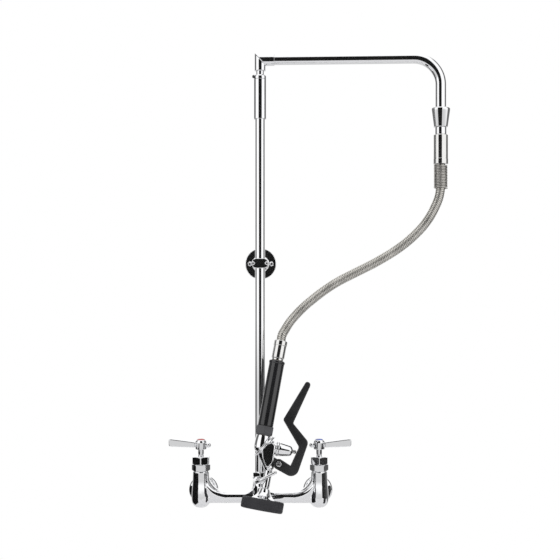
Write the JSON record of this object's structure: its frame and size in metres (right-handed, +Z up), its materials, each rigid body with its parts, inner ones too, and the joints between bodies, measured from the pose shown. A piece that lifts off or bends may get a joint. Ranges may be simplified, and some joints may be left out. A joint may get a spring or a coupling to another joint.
{
  "type": "pre rinse faucet",
  "caption": "Wall-mounted kitchen pre-rinse faucet with hot and cold lever valves, a riser, a swinging overhead arm, a flexible hose and a squeeze spray valve on a hook.",
  "frame": {"origin": "on the wall, midway between the two inlets, at the height of the bridge axis", "axes": "+X to the right seen from the front, +Y into the wall, +Z up"},
  "size_m": [0.4816, 0.1638, 0.7894],
  "materials": {
    "chrome": "polished",
    "steel": "satin",
    "brass": "machined",
    "black_plastic": "satin",
    "grey_plastic": "satin",
    "lever_coat": "satin",
    "rubber": "matte",
    "hot_mark": "gloss",
    "cold_mark": "gloss"
  },
  "bodies": {
    "faucet": {"faucet_body": "chrome", "hot_wall_flange": "chrome", "cold_wall_flange": "chrome", "hot_cartridge": "brass", "cold_cartridge": "brass", "hot_bonnet_nut": "chrome", "cold_bonnet_nut": "chrome", "hot_packing_nut": "chrome", "cold_packing_nut": "chrome", "riser_washer": "rubber", "riser_tube": "chrome", "finger_hook": "chrome", "coupling_nut": "chrome", "bracket_wall_flange": "chrome", "bracket_rod": "chrome", "bracket_rear_clamp": "chrome", "bracket_front_clamp": "chrome", "bracket_clamp_screw_left": "chrome", "bracket_clamp_screw_right": "chrome", "bracket_wall_screw_left": "chrome", "bracket_wall_screw_right": "chrome", "swivel_sleeve": "chrome", "swivel_cap": "chrome", "swivel_set_screw": "black_plastic"},
    "hot_lever": {"hot_stem": "chrome", "hot_handle": "chrome", "hot_handle_screw": "steel", "hot_index_cap": "hot_mark"},
    "cold_lever": {"cold_stem": "chrome", "cold_handle": "chrome", "cold_handle_screw": "steel", "cold_index_cap": "cold_mark"},
    "arm": {"arm_elbow": "chrome", "lower_o_ring": "rubber", "upper_o_ring": "rubber", "overhead_arm": "chrome", "arm_cone_nut": "chrome", "hose_washer": "rubber", "hose_nipple": "chrome", "upper_ferrule": "steel", "spring_guard": "steel"},
    "hose": {"spray_hose": "steel"},
    "spray_valve": {"lower_ferrule": "steel", "core_tube": "brass", "grip": "black_plastic", "grip_collar": "grey_plastic", "valve_body": "chrome", "valve_bonnet": "chrome", "valve_spring": "steel", "spray_head": "chrome", "spray_face": "steel", "spray_bumper": "rubber", "pivot_pin": "chrome", "pivot_nut": "chrome"},
    "plunger": {"valve_plunger": "steel", "seat_washer": "rubber"},
    "squeeze_lever": {"spray_lever": "lever_coat"},
    "ring": {"hold_down_ring": "chrome"}
  },
  "joints": [
    {"name": "hot_handle_turn", "type": "hinge", "parent": "faucet", "child": "hot_lever", "pos_m": [-0.1016, -0.065, 0.09], "axis": [0, 0, 1], "range_deg": [0, 90]},
    {"name": "cold_handle_turn", "type": "hinge", "parent": "faucet", "child": "cold_lever", "pos_m": [0.1016, -0.065, 0.09], "axis": [0, 0, -1], "range_deg": [0, 90]},
    {"name": "arm_swivel", "type": "hinge", "parent": "faucet", "child": "arm", "pos_m": [0, -0.065, 0.7], "axis": [0, 0, 1], "range_deg": [-60, 8]},
    {"name": "hose_follow", "type": "hinge", "parent": "arm", "child": "hose", "pos_m": [0, -0.065, 0.7], "axis": [0, 0, 1], "range_deg": [-8, 60], "deforming": ["spray_hose"]},
    {"name": "valve_swing", "type": "hinge", "parent": "hose", "child": "spray_valve", "pos_m": [0.03603, -0.07502, 0.26961], "axis": [0, 1, 0], "range_deg": [-15, 0], "stiffness_Nm_per_rad": 1.2, "springref_deg": 17.19},
    {"name": "lever_squeeze", "type": "hinge", "parent": "spray_valve", "child": "squeeze_lever", "pos_m": [0.03197, -0.11427, 0.065], "axis": [0.0348, -0.9816, 0.1876], "range_deg": [0, 9], "stiffness_Nm_per_rad": 1.5, "springref_deg": -8.59},
    {"name": "plunger_travel", "type": "slide", "parent": "spray_valve", "child": "plunger", "axis": [-0.9833, 0, 0.1822], "range_m": [0, 0.005]},
    {"name": "ring_tilt", "type": "hinge", "parent": "spray_valve", "child": "ring", "pos_m": [0.00892, -0.10939, 0.09483], "axis": [-0.0348, 0.9816, -0.1876], "range_deg": [0, 8]}
  ],
  "couplings": [
    {"joint": "hose_follow", "follows": "arm_swivel", "ratio": -1},
    {"joint": "plunger_travel", "follows": "lever_squeeze", "m_per_rad": 0.0293}
  ]
}
